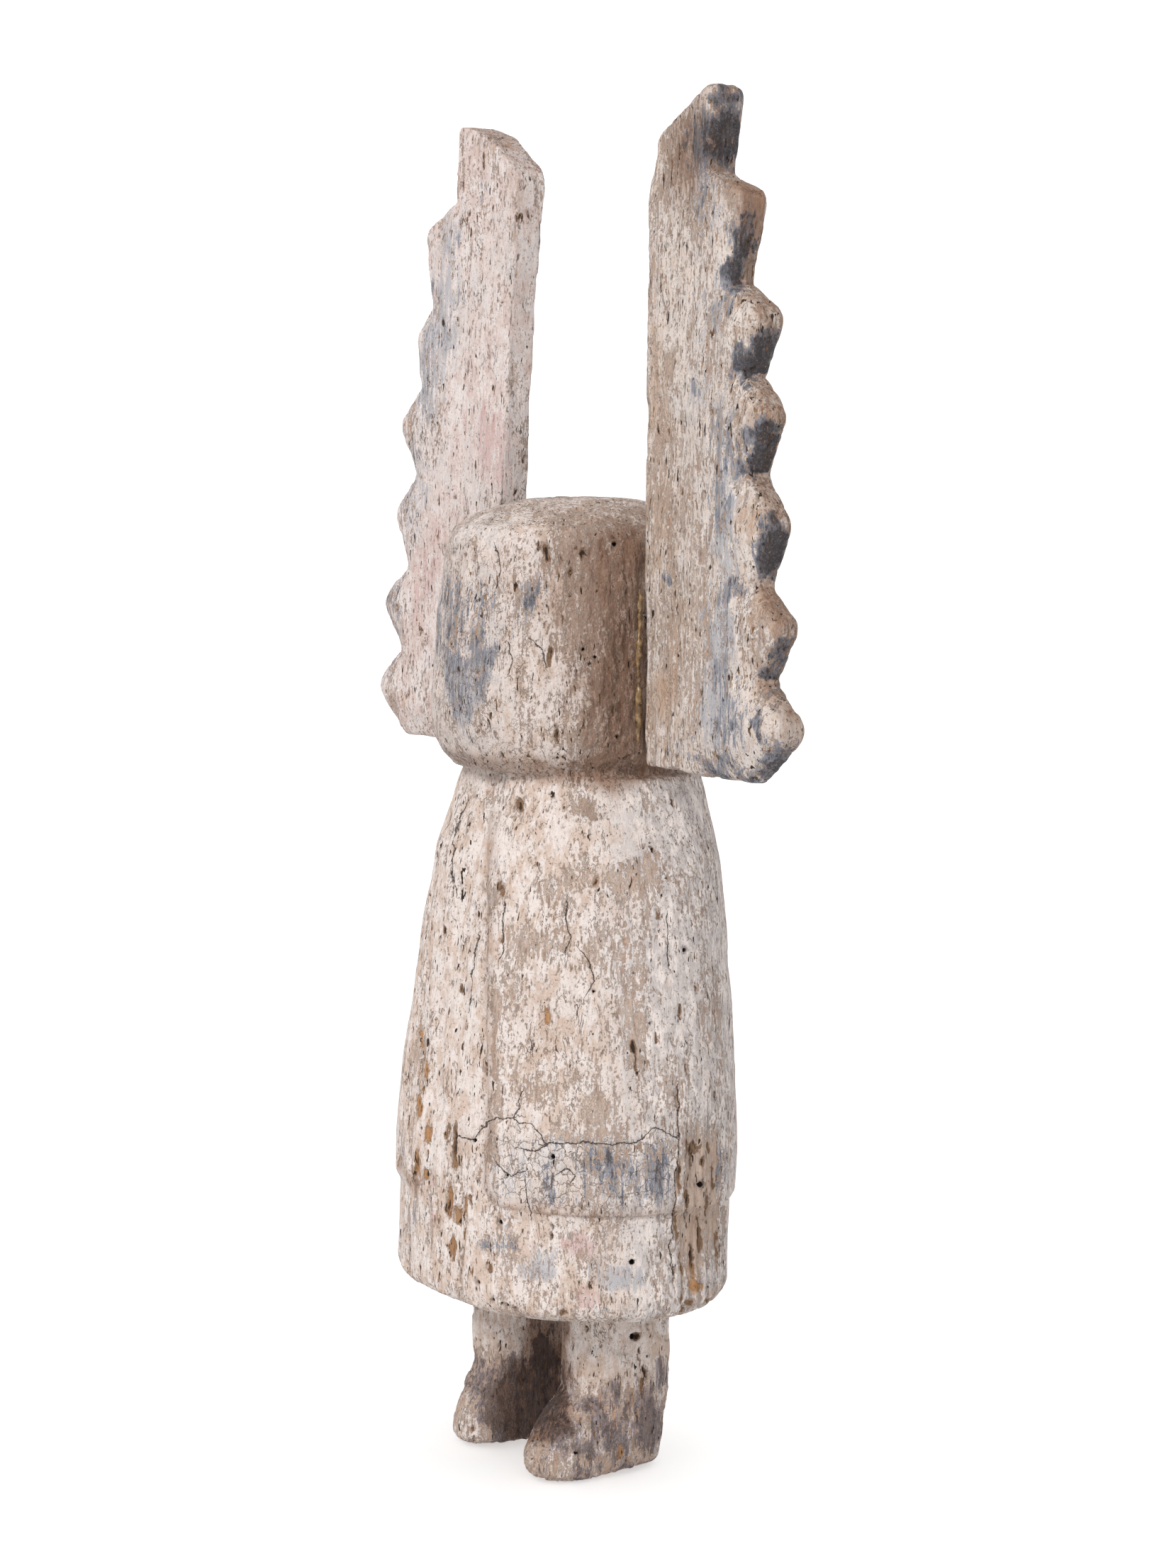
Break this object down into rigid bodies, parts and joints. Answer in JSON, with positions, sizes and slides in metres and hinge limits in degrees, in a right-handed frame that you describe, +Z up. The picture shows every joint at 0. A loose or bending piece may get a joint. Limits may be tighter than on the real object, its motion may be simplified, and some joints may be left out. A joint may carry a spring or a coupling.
{
  "type": "carved wooden figure with feather-edged wings",
  "caption": "Weathered carved wooden figure of a robed spirit with a barrel-shaped mask and tall notched wings on its sides, standing on its own two feet.",
  "frame": {"origin": "on the floor under the middle of the figure, midway between its wing tips and midway between the front of its skirt and the back of its mask", "axes": "+Z up, the figure faces -Y, +X towards the figure's left"},
  "size_m": [0.2511, 0.1096, 0.4496],
  "materials": {
    "painted_wood": "matte",
    "wing_wood": "matte",
    "set_glue": "gloss"
  },
  "bodies": {
    "root": {"figure": "painted_wood", "left_wing": "wing_wood", "right_wing": "wing_wood", "left_glue_bead": "set_glue", "right_glue_bead": "set_glue"}
  },
  "joints": []
}
